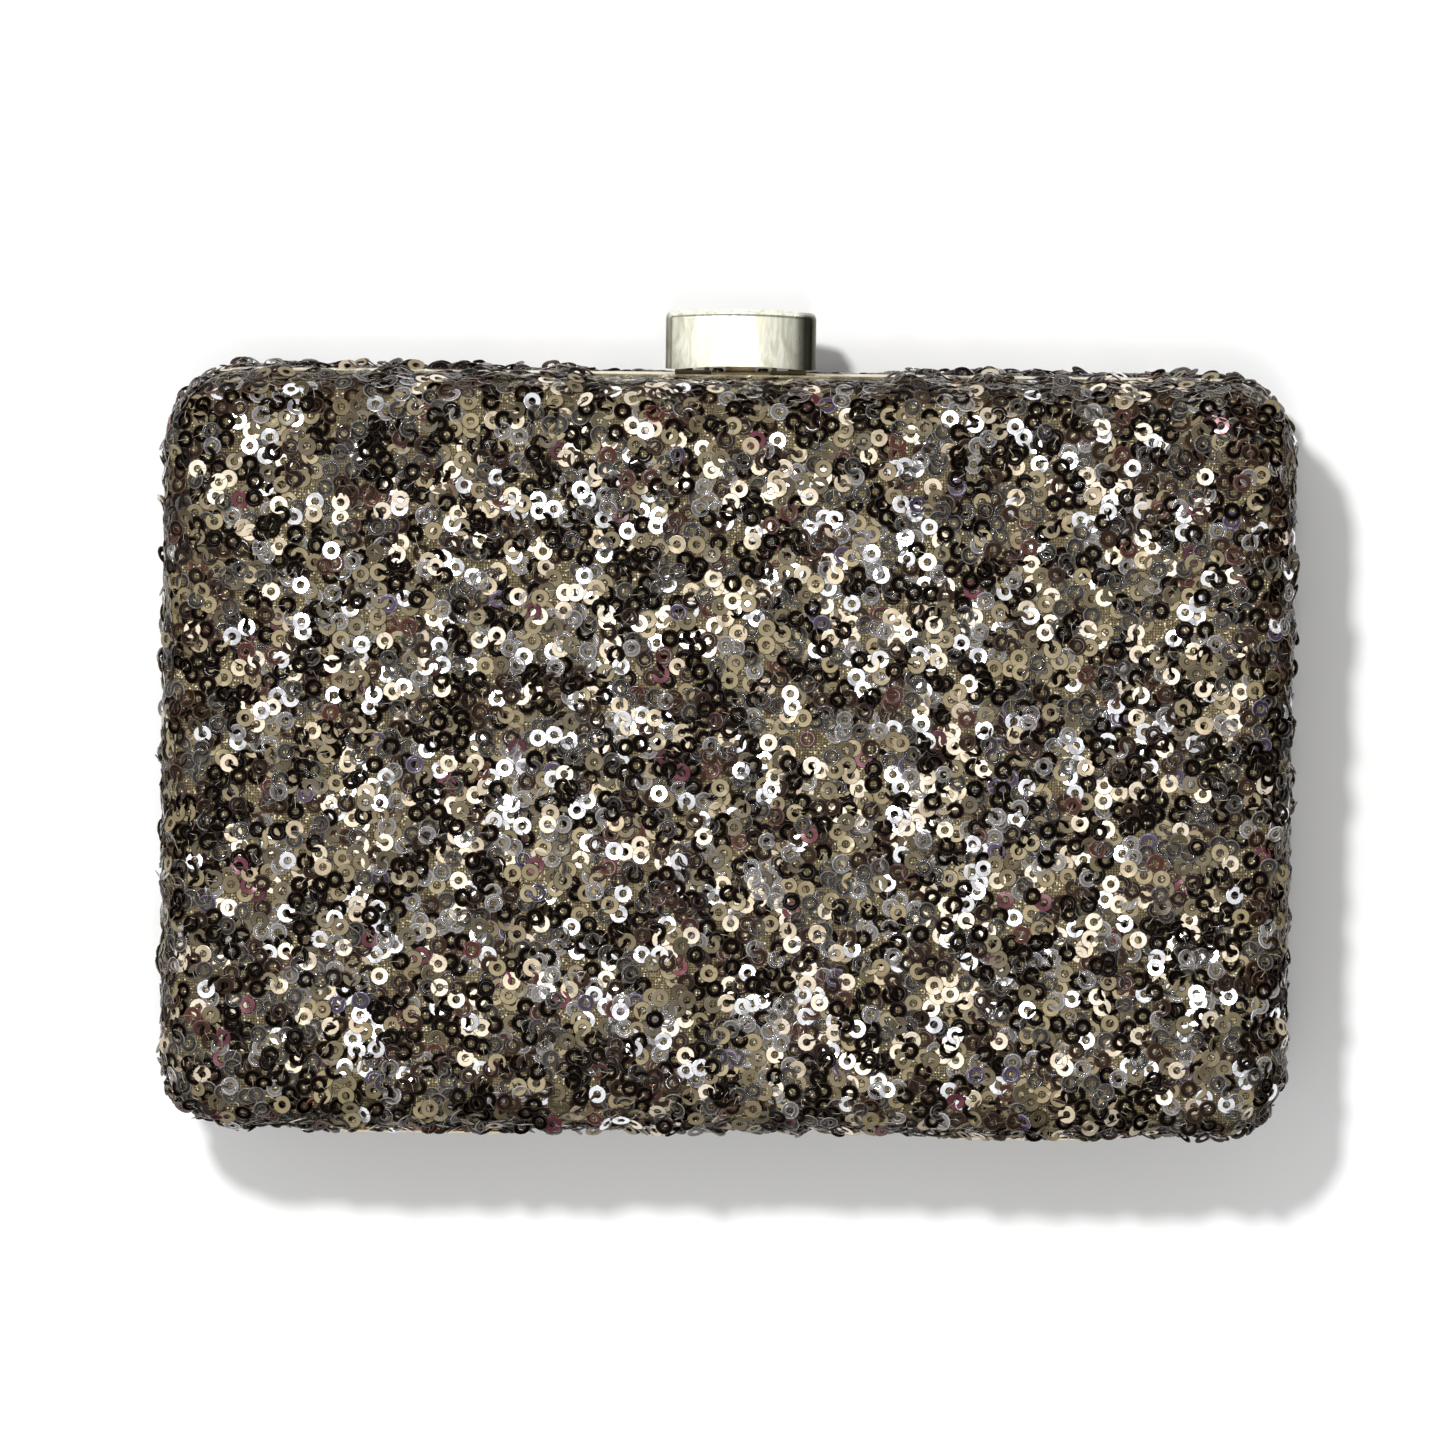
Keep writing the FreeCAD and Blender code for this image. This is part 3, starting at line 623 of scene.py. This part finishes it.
def sewing_points(side):
    """Random points on one cover's cloth, no two too near, with outward directions and regions."""
    reach = np.array([half_width - corner_radius, half_height - corner_radius])
    wall_low = pile_start + sequin_radius * 0.95
    wall_high = half_depth - face_edge_radius
    wall = wall_high - wall_low
    across = wall + cloth_roll * math.pi / 2
    straight = 4 * reach.sum()
    round_length = straight + 2 * math.pi * cloth_corner
    face_area = 4 * (half_width - cloth_inset) * (half_height - cloth_inset)
    rim_area = across * round_length
    wanted = (face_area + rim_area) / MM**2 * sequins_per_mm2
    tries = int(wanted * 6)
    points, outward, regions = [], [], []
    grid = {}
    dice = random.random((tries, 4))
    for one in dice:
        if one[0] < face_area / (face_area + rim_area):
            x = (one[1] * 2 - 1) * (half_width - cloth_inset)
            y = (one[2] * 2 - 1) * (half_height - cloth_inset)
            over = np.array([abs(x), abs(y)]) - reach
            limit = cloth_corner - cloth_roll
            if max(over) > limit or (min(over) > 0 and math.hypot(*over) > limit):
                continue
            place = np.array([x, middle_y + y, parting_z + side * (half_depth - cloth_depth)])
            normal = np.array([0.0, 0.0, side])
            region = 0
        else:
            along = one[1] * round_length
            up = one[2] * across
            if up < wall:
                lean = 0.0
                z = wall_low + up
            else:
                lean = (up - wall) / cloth_roll
                z = wall_high + cloth_roll * math.sin(lean)
            shrink = cloth_roll * (1 - math.cos(lean))
            radius = cloth_corner - shrink
            legs = [2 * reach[1], 2 * reach[0]] * 2
            bend = cloth_corner * math.pi / 2
            for turn in range(4):
                out = np.array([math.cos(turn * math.pi / 2), math.sin(turn * math.pi / 2)])
                ahead = np.array([-out[1], out[0]])
                if along < legs[turn]:
                    flat = out * (abs(out @ reach) + radius) + ahead * (along - legs[turn] / 2)
                    break
                along -= legs[turn]
                if along < bend:
                    if one[3] > radius / cloth_corner:
                        out = None
                        break
                    corner = out * abs(out @ reach) + ahead * abs(ahead @ reach)
                    angle = along / cloth_corner
                    out = out * math.cos(angle) + ahead * math.sin(angle)
                    flat = corner + out * radius
                    break
                along -= bend
            if out is None:
                continue
            place = np.array([flat[0], middle_y + flat[1], parting_z + side * z])
            rise = math.sin(lean)
            normal = np.array([*(out * math.cos(lean)), side * rise])
            region = 1 if lean > 0 else 2
        key = tuple((place // sequin_spacing).astype(int))
        near = [
            points[i]
            for dx in (-1, 0, 1) for dy in (-1, 0, 1) for dz in (-1, 0, 1)
            for i in grid.get((key[0] + dx, key[1] + dy, key[2] + dz), ())
        ]
        if near and (np.linalg.norm(np.array(near) - place, axis=1) < sequin_spacing).any():
            continue
        grid.setdefault(key, []).append(len(points))
        points.append(place)
        outward.append(normal)
        regions.append(region)
        if len(points) >= wanted:
            break
    return np.array(points), np.array(outward), np.array(regions)


def lay_sequins(side):
    """Where each sequin of one cover lies: centre, two directions in its plane and its own normal.

    Each rests on those sewn before it, and leans where only one edge is lifted."""
    points, outward, regions = sewing_points(side)
    count = len(points)
    spare = np.where(np.abs(outward[:, 2:]) > 0.9, [[1.0, 0.0, 0.0]], [[0.0, 0.0, 1.0]])
    first = np.cross(spare, outward)
    first /= np.linalg.norm(first, axis=1)[:, None]
    second = np.cross(outward, first)
    feelers = 8  # places round a sequin's edge where it may rest on others
    felt = 0.93  # their share of its radius
    least = sequin_sheet * 0.6  # height over the bare cloth
    stacked = sequin_sheet * 1.15  # height of one sequin over the one below
    under = (sequin_radius * 1.02) ** 2
    pinned = 0.72  # the thread holds its middle down
    looseness = (0.055, 0.10, 0.14)  # on the face, the rolled edge and the wall
    steepest = (0.42, 0.55, 0.7)
    angles = np.arange(feelers) / feelers * 2 * math.pi
    rim = np.stack([np.cos(angles), np.sin(angles)], 1)
    centres = points.copy()
    normals = outward.copy()
    cell = 2 * sequin_radius
    grid = {}
    wobble = random.normal(0, 1, (count, 2))
    lift = random.random(count)
    for i in range(count):
        key = tuple((points[i] // cell).astype(int))
        near = [
            j
            for dx in (-1, 0, 1) for dy in (-1, 0, 1) for dz in (-1, 0, 1)
            for j in grid.get((key[0] + dx, key[1] + dy, key[2] + dz), ())
        ]
        heights = np.full(feelers, least)
        if near:
            spots = points[i] + (rim @ np.stack([first[i], second[i]])) * sequin_radius * felt
            apart = spots[:, None] - centres[near][None]
            level = (apart * normals[near][None]).sum(2)
            flat = apart - level[:, :, None] * normals[near][None]
            inside = (flat**2).sum(2) < under
            facing = np.maximum(normals[near] @ outward[i], 0.5)
            found = np.where(inside, -level / facing + stacked, 0)
            heights = np.maximum(heights, found.max(axis=1))
        middle = heights.mean()
        slope = 2 * (heights @ rim) / feelers / (sequin_radius * felt)
        middle = middle * pinned + sequin_sheet * 0.3
        slope = slope * 1.1 + wobble[i] * looseness[regions[i]]
        if regions[i] and lift[i] > 0.9:  # a few stand up round the edges
            slope = slope * 2.2
        steep = math.hypot(*slope)
        most = steepest[regions[i]]
        if steep > most:
            slope = slope * most / steep
        press = 1.0
        if side < 0 and regions[i] == 0:  # the bag lies on these
            press = 0.4
        if outward[i][1] > 0.5:
            if abs(points[i][0] - clasp_x) < clasp_clear:
                press = 0.45
            elif regions[i] == 2:
                middle += 0.4 * MM * lift[i]
        if outward[i][1] < -0.5:
            hides_hinge = any(abs(points[i][0] - x) < hinge_cover for x in hinge_middles)
            middle += (0.3 * lift[i] + 0.4 * hides_hinge) * MM
            slope = slope * 1.3
        height = min(middle + max(0, steep - 0.12) * sequin_radius * 0.35, most_height) * press
        slope = slope * press
        normal = outward[i] - slope[0] * first[i] - slope[1] * second[i]
        normals[i] = normal / np.linalg.norm(normal)
        centres[i] = points[i] + outward[i] * height
        # Its lowest point stays on the table.
        dip = sequin_radius * 1.06 * math.hypot(normals[i][0], normals[i][1]) + sequin_sheet * 2
        centres[i][2] = max(centres[i][2], dip)
        grid.setdefault(key, []).append(i)
    return points, centres, normals, outward


def sequin_sections():
    """Sections of the two kinds of sequin: radius, height and how much of the painted rim colour shows, a
    painted highlight on film and painted shade on foil.
    """
    outer, hole, half = sequin_radius, sequin_hole, sequin_sheet / 2
    flat = [
        (outer, -half * 0.5, 1.0), (outer * 0.975, half * 0.7, 0.8), (outer * 0.92, half, 0.0),
        (hole * 1.22, half * 0.75, 0.0), (hole, -half * 0.2, 1.0), (hole * 1.2, -half, 0.6),
    ]
    middle = (outer + hole) / 2
    wide = (outer - hole) / 2
    bead = [
        (outer, -half * 0.4, 1.0), (middle + wide * 0.84, half * 1.1, 0.5),
        (middle + wide * 0.55, half * 1.8, 0.0), (middle - wide * 0.5, half * 1.5, 0.0),
        (hole, -half * 0.1, 0.8), (middle, -half * 1.1, 0.0),
    ]
    return np.array(flat), np.array(bead)


def sequin_mesh(name, centres, normals, section, finish, sharp):
    """All sequins of one kind on one cover, as one mesh of separate rings."""
    count = len(centres)
    spare = random.normal(0, 1, (count, 3))
    first = np.cross(spare, normals)
    first /= np.linalg.norm(first, axis=1)[:, None]
    second = np.cross(normals, first)
    size = 1 + random.normal(0, 0.02, (count, 1, 1))
    curl = random.normal(0, 0.045 * MM, (count, 1, 1))
    cup = random.normal(0.02 * MM, 0.02 * MM, (count, 1, 1))
    angles = np.arange(sequin_sides) / sequin_sides * 2 * math.pi
    reach = (section[None, None, :, 0] * size) + np.zeros((count, sequin_sides, 1))
    share = (reach / sequin_radius) ** 2
    height = section[None, None, :, 1] + curl * share * np.cos(2 * angles)[None, :, None]
    height = height + cup * share
    across = reach * np.cos(angles)[None, :, None]
    along = reach * np.sin(angles)[None, :, None]
    points = (
        centres[:, None, None]
        + across[..., None] * first[:, None, None]
        + along[..., None] * second[:, None, None]
        + height[..., None] * normals[:, None, None]
    ).reshape(-1, 3)
    steps = len(section)
    ring = np.arange(sequin_sides)[:, None] * steps
    ring_after = np.roll(ring, -1, axis=0)
    part = np.arange(steps)[None]
    part_after = np.roll(part, -1, axis=1)
    quads = np.stack([ring + part, ring_after + part, ring_after + part_after, ring + part_after], 2)
    quads = quads.reshape(-1, 4)
    faces = (quads[None] + (np.arange(count) * sequin_sides * steps)[:, None, None]).reshape(-1, 4)
    made = mesh_piece(name, points, faces, finish)
    mesh = made.data
    rim = mesh.attributes.new("rim", "FLOAT", "POINT")
    rim.data.foreach_set("value", np.tile(section[:, 2], count * sequin_sides).astype(np.float32))
    if sharp:
        ends = np.empty(len(mesh.edges) * 2, np.int32)
        mesh.edges.foreach_get("vertices", ends)
        ends = ends.reshape(-1, 2) % steps
        crease = (ends[:, 0] == ends[:, 1]) & np.isin(ends[:, 0], (2, 3, 5))
        layer = mesh.attributes.new("sharp_edge", "BOOLEAN", "EDGE")
        layer.data.foreach_set("value", crease)
    return made


def stitch_mesh(name, points, centres, normals, outward, finish):
    """A fine stitch out of each sequin's hole and over its edge, back to the cloth."""
    count = len(points)
    spare = random.normal(0, 1, (count, 3))
    way = np.cross(spare, normals)
    way /= np.linalg.norm(way, axis=1)[:, None]
    beside = np.cross(normals, way)
    top = sequin_sheet * 1.2
    path = np.stack([
        points,
        centres + way * sequin_hole * 0.9 + normals * top,
        centres + way * sequin_radius * 0.95 + normals * top,
        points + way * sequin_radius * 1.15 + outward * 0.05 * MM,
    ], 1)
    turns = np.arange(thread_sides) / thread_sides * 2 * math.pi
    round_it = (
        np.cos(turns)[None, :, None] * beside[:, None] + np.sin(turns)[None, :, None] * normals[:, None]
    ) * thread_radius
    body = path[:, :, None] + round_it[:, None]
    body = body.reshape(-1, 3)
    tube = []
    bends = path.shape[1]
    for k in range(bends - 1):
        near = k * thread_sides
        far = near + thread_sides
        for t in range(thread_sides):
            u = (t + 1) % thread_sides
            tube.append((near + t, near + u, far + u, far + t))
    tube = np.array(tube)
    firsts = np.arange(count) * bends * thread_sides
    faces = (tube[None] + firsts[:, None, None]).reshape(-1, 4)
    return mesh_piece(name, body, faces, finish)


def drift(points, wave, seed):
    """Slow uneven pattern over the bag, from about -1 to 1, for where each kind gathers."""
    chance = np.random.default_rng(seed)
    total = np.zeros(len(points))
    waves = 14
    for _ in range(waves):
        way = chance.normal(0, 1, 3)
        way *= 2 * math.pi / (wave * chance.uniform(0.6, 1.6)) / np.linalg.norm(way)
        total += np.sin(points @ way + chance.uniform(0, 2 * math.pi))
    return total / math.sqrt(waves / 2)


def choose_kinds(points):
    """The kind of each sequin. Kinds gather in loose patches, as they fall from a mixed string, and near the
    sides dark kinds are more and bright ones fewer, as painted shade.
    """
    scores = []
    from_side = np.minimum(
        half_width - np.abs(points[:, 0]), half_height + end_shift - np.abs(points[:, 1] - middle_y)
    )
    for number, (label, (share, _, _)) in enumerate(sequin_kinds.items()):
        gather = 0.5 * drift(points, patch_size, 100 + number)
        gather = gather + 0.3 * drift(points, fleck_size, 200 + number)
        # Painted shade: dark kinds gather and bright kinds thin out towards the sides, so the bag darkens
        # towards its sides.
        if label in dark_kinds:
            gather = gather + 0.75 * np.clip(1 - from_side / dark_painted_shade_border, 0, 1)
        if label in bright_kinds:
            gather = gather - 0.8 * np.clip(1 - from_side / bright_painted_shade_border, 0, 1)
        scores.append(math.log(share) + gather)
    scores = np.array(scores) + random.gumbel(0, 1, (len(sequin_kinds), len(points)))
    return scores.argmax(axis=0)


def open_edge(node, side):
    """Height of the edge where one half's cloth begins, near the parting plane."""
    low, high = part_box(node)
    return low.z if side > 0 else high.z


def cover(half, side, body):
    """Backing cloth of one half, with its sequins and stitches."""
    node = half + "_cover"
    start_z = open_edge(node, side)
    cloth = tray_cloth(half + "_backing_cloth", side, cloth_depth, cloth_sheet, start_z, backing_finish)
    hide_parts(node)
    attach(cloth, body)
    points, centres, normals, outward = lay_sequins(side)
    kinds = choose_kinds(points)
    flat, bead = sequin_sections()
    for number, (label, (_, is_flat, finish)) in enumerate(sequin_kinds.items()):
        mine = np.flatnonzero(kinds == number)
        section = flat if is_flat else bead
        parts = math.ceil(len(mine) / most_in_a_piece)
        for part, some in enumerate(np.array_split(mine, parts)):
            name = f"{half}_{label}_sequins_{part + 1}"
            made = sequin_mesh(name, centres[some], normals[some], section, finish, is_flat)
            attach(made, body)
    sewn = random.random(len(points)) < stitches_seen
    stitches = stitch_mesh(
        half + "_stitches", points[sewn], centres[sewn], normals[sewn], outward[sewn], thread_finish
    )
    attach(stitches, body)


cover("front", 1, "lid")
cover("rear", -1, "rear_half")


# ---- the lining ----------------------------------------------------------------------
def corner_pleats(outer, inner):
    """Eases the lining into the tray: small pleats in the corners and faint waves elsewhere."""
    centre = np.array([0, middle_y])
    count = len(outer[0])
    turn = np.arange(count)
    eased = ([], [])
    corner_zone = 20 * MM
    pleat_depth = 0.45 * MM
    wave_depth = 0.10 * MM
    for k, (out_loop, in_loop) in enumerate(zip(outer, inner)):
        zone = np.array([half_width - corner_zone, half_height - corner_zone])
        beyond = np.abs(out_loop[:, :2] - centre) - zone
        corner = np.clip(np.minimum(beyond[:, 0], beyond[:, 1]) / (9 * MM), 0, 1)
        level = min(1.0, k / 5)
        fold = pleat_depth * corner * level * (0.5 + 0.5 * np.sin(turn * 2.1))
        waves = wave_depth * (1 + drift(out_loop, 38 * MM, 7) * 0.5) * level
        inward = in_loop - out_loop
        inward /= np.maximum(np.linalg.norm(inward, axis=1), 1e-9)[:, None]
        push = inward * (fold + waves)[:, None]
        eased[0].append(out_loop + push)
        eased[1].append(in_loop + push)
    return eased


for half, side, body in (("front", 1, "lid"), ("rear", -1, "rear_half")):
    node = half + "_lining"
    start_z = open_edge(node, side)
    satin = tray_cloth(
        half + "_satin_lining", side, lining_depth, lining_sheet, start_z, satin_finish, corner_pleats
    )
    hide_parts(node)
    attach(satin, body)


# ---- the slip pocket -----------------------------------------------------------------
def pocket():
    """A satin pocket laid on the rear lining, bagging a little at its open top edge."""
    low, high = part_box("slip_pocket")
    across, up = 72, 40
    u = np.linspace(0, 1, across + 1)[:, None] + np.zeros((1, up + 1))
    v = np.linspace(0, 1, up + 1)[None] + np.zeros((across + 1, 1))
    edge_u = np.minimum(u, 1 - u) * (high.x - low.x)
    edge_v = v * (high.y - low.y)
    rise = np.clip(np.minimum(edge_u, edge_v) / (7 * MM), 0, 1)
    rise = rise * rise * (3 - 2 * rise)
    flat = np.stack([u, v], 2).reshape(-1, 2) * 0.1
    wave = drift(np.column_stack([flat * [1, 0.45], np.zeros(len(flat))]), 22 * MM, 31).reshape(u.shape)
    seat = low.z + 0.05 * MM
    sewn_down = 0.45 * MM  # height of its sewn edges
    slack = 0.95 * MM
    ripple = 0.25 * MM
    doubled = 0.4 * MM  # thickness of the folded satin
    top = seat + sewn_down + rise * (slack + ripple * wave * v)
    x = low.x + (high.x - low.x) * u
    y = low.y + (high.y - low.y) * v
    upper = np.stack([x, y, top], 2).reshape(-1, 3)
    lower = np.stack([x, y, top - doubled], 2).reshape(-1, 3)
    index = np.arange((across + 1) * (up + 1)).reshape(across + 1, up + 1)
    quads = np.stack([index[:-1, :-1], index[1:, :-1], index[1:, 1:], index[:-1, 1:]], 2).reshape(-1, 4)
    total = len(upper)
    border = np.concatenate([index[:-1, 0], index[-1, :-1], index[:0:-1, -1], index[0, :0:-1]])
    ahead = np.roll(border, -1)
    rim = np.stack([border + total, ahead + total, ahead, border], 1)
    faces = np.concatenate([quads, quads[:, ::-1] + total, rim])
    made = mesh_piece("satin_slip_pocket", np.concatenate([upper, lower]), faces, satin_finish)
    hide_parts("slip_pocket")
    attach(made, "rear_half")
    trimming = pocket_edge(upper.reshape(across + 1, up + 1, 3)[:, -1])


def pocket_edge(edge):
    """Grosgrain binding folded over the pocket's open edge, and its row of stitches."""
    low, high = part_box("pocket_binding")
    wide = high.y - low.y
    section = [
        (-wide * 0.5, 0.30), (-wide * 0.25, 0.42), (0.0, 0.44), (wide * 0.25, 0.40), (wide * 0.45, 0.2),
        (wide * 0.5, -0.1), (wide * 0.45, -0.4), (wide * 0.25, -0.55), (-wide * 0.5, -0.5),
    ]
    inner = [(y * 0.94, z - math.copysign(0.14, z)) for y, z in section]
    loop = section + inner[::-1]
    points = []
    middle = (low.y + high.y) / 2
    for place in edge:
        for y, z in loop:
            points.append((place[0], middle + y, place[2] - 0.12 * MM + z * MM))
    count = len(loop)
    faces = []
    for k in range(len(edge) - 1):
        for t in range(count):
            u = (t + 1) % count
            faces.append((k * count + t, (k + 1) * count + t, (k + 1) * count + u, k * count + u))
    last = (len(edge) - 1) * count
    for start, flip in ((0, False), (last, True)):
        for t in range(len(section) - 1):
            ends = [start + t, start + t + 1, start + count - 2 - t, start + count - 1 - t]
            faces.append(tuple(ends[::-1] if flip else ends))
    ribbon = mesh_piece("pocket_edge_ribbon", points, faces, binding_finish)
    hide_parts("pocket_binding")
    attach(ribbon, "rear_half")
    pitch = 2.2 * MM
    stitch_length = 1.5 * MM
    stitch_radius = 0.13 * MM
    stitch_sides = 6
    stitch_path = ((0, -0.12), (0.2, 0.02), (0.5, 0.06), (0.8, 0.02), (1, -0.12))  # along, and up in mm
    starts = np.arange(edge[0][0] + 1 * MM, edge[-1][0] - 2 * MM, pitch)
    stitches = []
    for x in starts:
        z = np.interp(x, edge[:, 0], edge[:, 2]) + 0.30 * MM
        stitches.append((x, middle - wide * 0.32, z))
    stitches = np.array(stitches)
    turns = np.arange(stitch_sides) / stitch_sides * 2 * math.pi
    points, faces = [], []
    for place in stitches:
        base = len(points)
        for step, (share, lift) in enumerate(stitch_path):
            for turn in turns:
                points.append((
                    place[0] + share * stitch_length,
                    place[1] + math.cos(turn) * stitch_radius,
                    place[2] + lift * MM + math.sin(turn) * stitch_radius,
                ))
            if step:
                ring = base + (step - 1) * stitch_sides
                after = ring + stitch_sides
                for t in range(stitch_sides):
                    u = (t + 1) % stitch_sides
                    faces.append((ring + t, after + t, after + u, ring + u))
    seam = mesh_piece("pocket_edge_stitches", points, [f[::-1] for f in faces], thread_finish)
    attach(seam, "rear_half")
    return [ribbon, seam]


pocket()

# ---- finishes of the metal and moulded pieces ----------------------------------------
# The pieces in the gap under the clasp cap take the gold darkened as painted shade.
finish_of_node = {
    "clasp_cap": clasp_finish, "clasp_spring": spring_steel, "clasp_bracket": shaded_gold,
    "clasp_base": shaded_gold, "clasp_base_rivets": shaded_gold, "catch_tongue": shaded_gold,
    "catch_rivets": shaded_gold,
}
for name, made in nodes.items():
    if name.endswith("_frame"):
        finish = pale_gold
    elif name.endswith("_shell"):
        finish = tray_finish
    else:
        finish = finish_of_node.get(name, hinge_gold)
    made.data.materials.clear()
    made.data.materials.append(finish)


# ---- studio --------------------------------------------------------------------------
def studio():
    """A pale floor, a key light from the upper left, two soft lights overhead and a graded sky."""
    mesh = bpy.data.meshes.new("floor")
    reach = 3.0
    corners = [(-reach, -reach, 0), (reach, -reach, 0), (reach, reach, 0), (-reach, reach, 0)]
    mesh.from_pydata(corners, [], [(0, 1, 2, 3)])
    mesh.materials.append(floor_paper())
    floor = bpy.data.objects.new("floor", mesh)
    bpy.context.scene.collection.objects.link(floor)
    middle = Vector((0, middle_y, half_depth))
    key_reach = 1.2
    soft_light("key", middle + Vector((-0.24, 0.42, 1.0)) * key_reach, middle, 0.10, 12.0)
    soft_light("overhead", middle + Vector((0.03, -0.14, 1.30)), middle, 0.46, 0.8)
    soft_light("glint", middle + Vector((0.04, -0.10, 1.28)), middle, 0.15, 1.9)
    world = bpy.data.worlds.new("studio")
    bpy.context.scene.world = world
    world.use_nodes = True
    tree = world.node_tree
    shade = tree.nodes["Background"]
    place = add(tree, "TexCoord").outputs["Generated"]
    parts = add(tree, "SeparateXYZ", None, Vector=place)
    height = maths(tree, "MULTIPLY_ADD", parts.outputs[0], -0.2, parts.outputs[2])
    sides = spread(tree, height, 0.55, 0.67, 0.03, 1.0)
    sides = maths(tree, "MULTIPLY", sides, spread(tree, parts.outputs[2], 0.38, 0.54, 0.08, 1.0))
    glow = maths(tree, "MULTIPLY", sides, spread(tree, parts.outputs[2], 0.88, 0.97, 1.0, 0.2))
    # Behind the bag the sky itself looks white.
    seen = add(tree, "LightPath").outputs["Is Camera Ray"]
    plug(tree, shade.inputs["Color"], blend_colour(tree, seen, glow, (1.0, 1.0, 1.0)))
    bpy.context.scene.view_settings.view_transform = "Standard"


studio()
